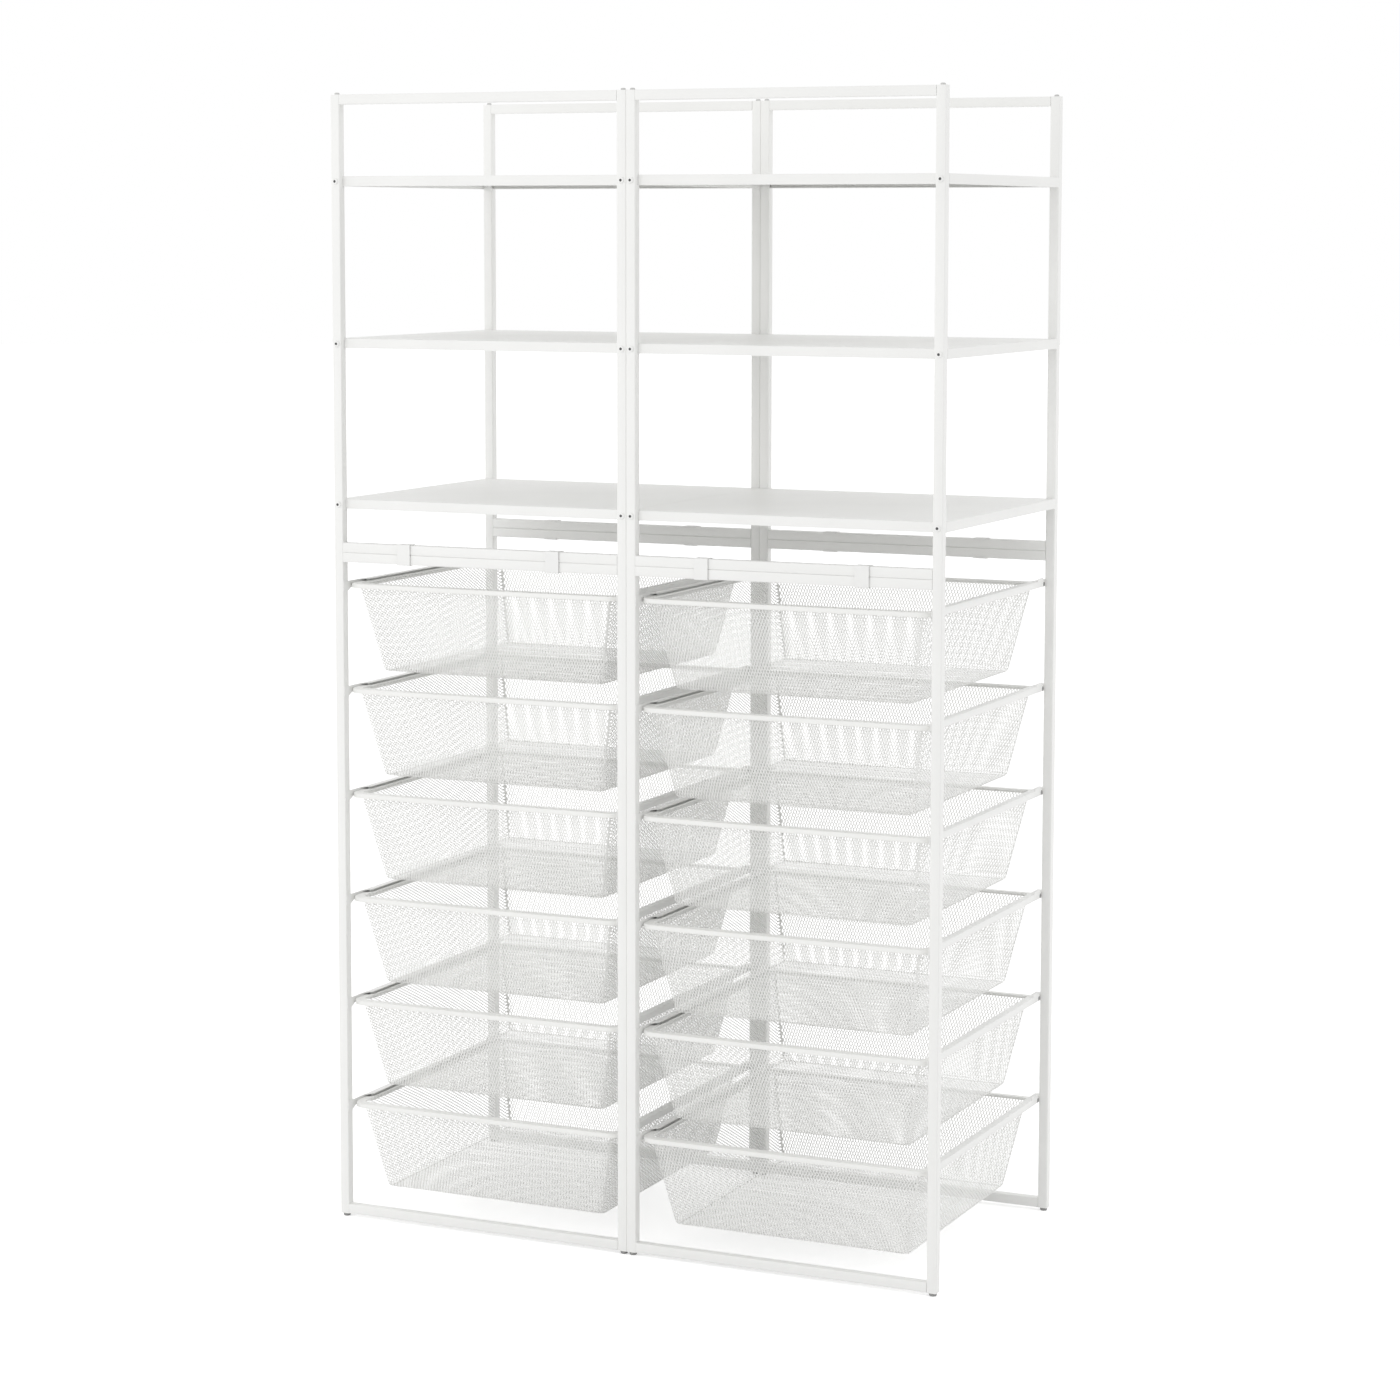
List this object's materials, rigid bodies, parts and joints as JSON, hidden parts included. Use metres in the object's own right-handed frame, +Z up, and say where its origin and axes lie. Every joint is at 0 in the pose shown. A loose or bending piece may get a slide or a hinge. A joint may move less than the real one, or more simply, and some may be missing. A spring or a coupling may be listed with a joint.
{
  "type": "open shelving unit with pull-out baskets",
  "caption": "White steel shelving unit: square-tube frames stacked in two columns, open folded shelves above and pull-out mesh baskets on side rails below.",
  "frame": {"origin": "middle of the footprint on the floor, at the height of the feet's undersides", "axes": "+Z up, front towards -Y, +X to the right seen from the front"},
  "size_m": [0.99, 0.5046, 1.733],
  "materials": {
    "frame_paint": "smooth satin white powder coat",
    "shelf_paint": "smooth satin white powder coat",
    "rail_paint": "satin white powder coat",
    "rim_paint": "smooth satin white powder coat",
    "mesh_paint": "white powder coat on expanded metal mesh",
    "foot_plastic": "matte grey",
    "stud_plastic": "matte grey",
    "pin_plastic": "matte dark grey",
    "screw_steel": "white coated screw head",
    "clip_paint": "satin white powder coat"
  },
  "bodies": {
    "frame": {"lower_frame_front_left": "frame_paint", "upper_frame_front_left": "frame_paint", "lower_frame_back_left": "frame_paint", "upper_frame_back_left": "frame_paint", "shelf_left_1": "shelf_paint", "shelf_left_2": "shelf_paint", "shelf_left_3": "shelf_paint", "basket_rails_left_1": "rail_paint", "basket_rails_left_2": "rail_paint", "basket_rails_left_3": "rail_paint", "basket_rails_left_4": "rail_paint", "basket_rails_left_5": "rail_paint", "basket_rails_left_6": "rail_paint", "lower_frame_front_right": "frame_paint", "upper_frame_front_right": "frame_paint", "lower_frame_back_right": "frame_paint", "upper_frame_back_right": "frame_paint", "shelf_right_1": "shelf_paint", "shelf_right_2": "shelf_paint", "shelf_right_3": "shelf_paint", "basket_rails_right_1": "rail_paint", "basket_rails_right_2": "rail_paint", "basket_rails_right_3": "rail_paint", "basket_rails_right_4": "rail_paint", "basket_rails_right_5": "rail_paint", "basket_rails_right_6": "rail_paint", "feet": "foot_plastic", "stacking_studs_lower": "stud_plastic", "stacking_studs_upper": "stud_plastic", "rail_pins": "pin_plastic", "shelf_screws_front": "screw_steel", "shelf_screws_back": "screw_steel", "frame_clips_front": "clip_paint", "frame_clips_back": "clip_paint"},
    "basket_left_1": {"basket_rim_left_1": "rim_paint", "basket_tray_left_1": "mesh_paint"},
    "basket_left_2": {"basket_rim_left_2": "rim_paint", "basket_tray_left_2": "mesh_paint"},
    "basket_left_3": {"basket_rim_left_3": "rim_paint", "basket_tray_left_3": "mesh_paint"},
    "basket_left_4": {"basket_rim_left_4": "rim_paint", "basket_tray_left_4": "mesh_paint"},
    "basket_left_5": {"basket_rim_left_5": "rim_paint", "basket_tray_left_5": "mesh_paint"},
    "basket_left_6": {"basket_rim_left_6": "rim_paint", "basket_tray_left_6": "mesh_paint"},
    "basket_right_1": {"basket_rim_right_1": "rim_paint", "basket_tray_right_1": "mesh_paint"},
    "basket_right_2": {"basket_rim_right_2": "rim_paint", "basket_tray_right_2": "mesh_paint"},
    "basket_right_3": {"basket_rim_right_3": "rim_paint", "basket_tray_right_3": "mesh_paint"},
    "basket_right_4": {"basket_rim_right_4": "rim_paint", "basket_tray_right_4": "mesh_paint"},
    "basket_right_5": {"basket_rim_right_5": "rim_paint", "basket_tray_right_5": "mesh_paint"},
    "basket_right_6": {"basket_rim_right_6": "rim_paint", "basket_tray_right_6": "mesh_paint"}
  },
  "joints": [
    {"name": "basket_slide_left_1", "type": "slide", "parent": "frame", "child": "basket_left_1", "axis": [0, -1, 0], "range_m": [0, 0.34]},
    {"name": "basket_slide_left_2", "type": "slide", "parent": "frame", "child": "basket_left_2", "axis": [0, -1, 0], "range_m": [0, 0.34]},
    {"name": "basket_slide_left_3", "type": "slide", "parent": "frame", "child": "basket_left_3", "axis": [0, -1, 0], "range_m": [0, 0.34]},
    {"name": "basket_slide_left_4", "type": "slide", "parent": "frame", "child": "basket_left_4", "axis": [0, -1, 0], "range_m": [0, 0.34]},
    {"name": "basket_slide_left_5", "type": "slide", "parent": "frame", "child": "basket_left_5", "axis": [0, -1, 0], "range_m": [0, 0.34]},
    {"name": "basket_slide_left_6", "type": "slide", "parent": "frame", "child": "basket_left_6", "axis": [0, -1, 0], "range_m": [0, 0.34]},
    {"name": "basket_slide_right_1", "type": "slide", "parent": "frame", "child": "basket_right_1", "axis": [0, -1, 0], "range_m": [0, 0.34]},
    {"name": "basket_slide_right_2", "type": "slide", "parent": "frame", "child": "basket_right_2", "axis": [0, -1, 0], "range_m": [0, 0.34]},
    {"name": "basket_slide_right_3", "type": "slide", "parent": "frame", "child": "basket_right_3", "axis": [0, -1, 0], "range_m": [0, 0.34]},
    {"name": "basket_slide_right_4", "type": "slide", "parent": "frame", "child": "basket_right_4", "axis": [0, -1, 0], "range_m": [0, 0.34]},
    {"name": "basket_slide_right_5", "type": "slide", "parent": "frame", "child": "basket_right_5", "axis": [0, -1, 0], "range_m": [0, 0.34]},
    {"name": "basket_slide_right_6", "type": "slide", "parent": "frame", "child": "basket_right_6", "axis": [0, -1, 0], "range_m": [0, 0.34]}
  ]
}
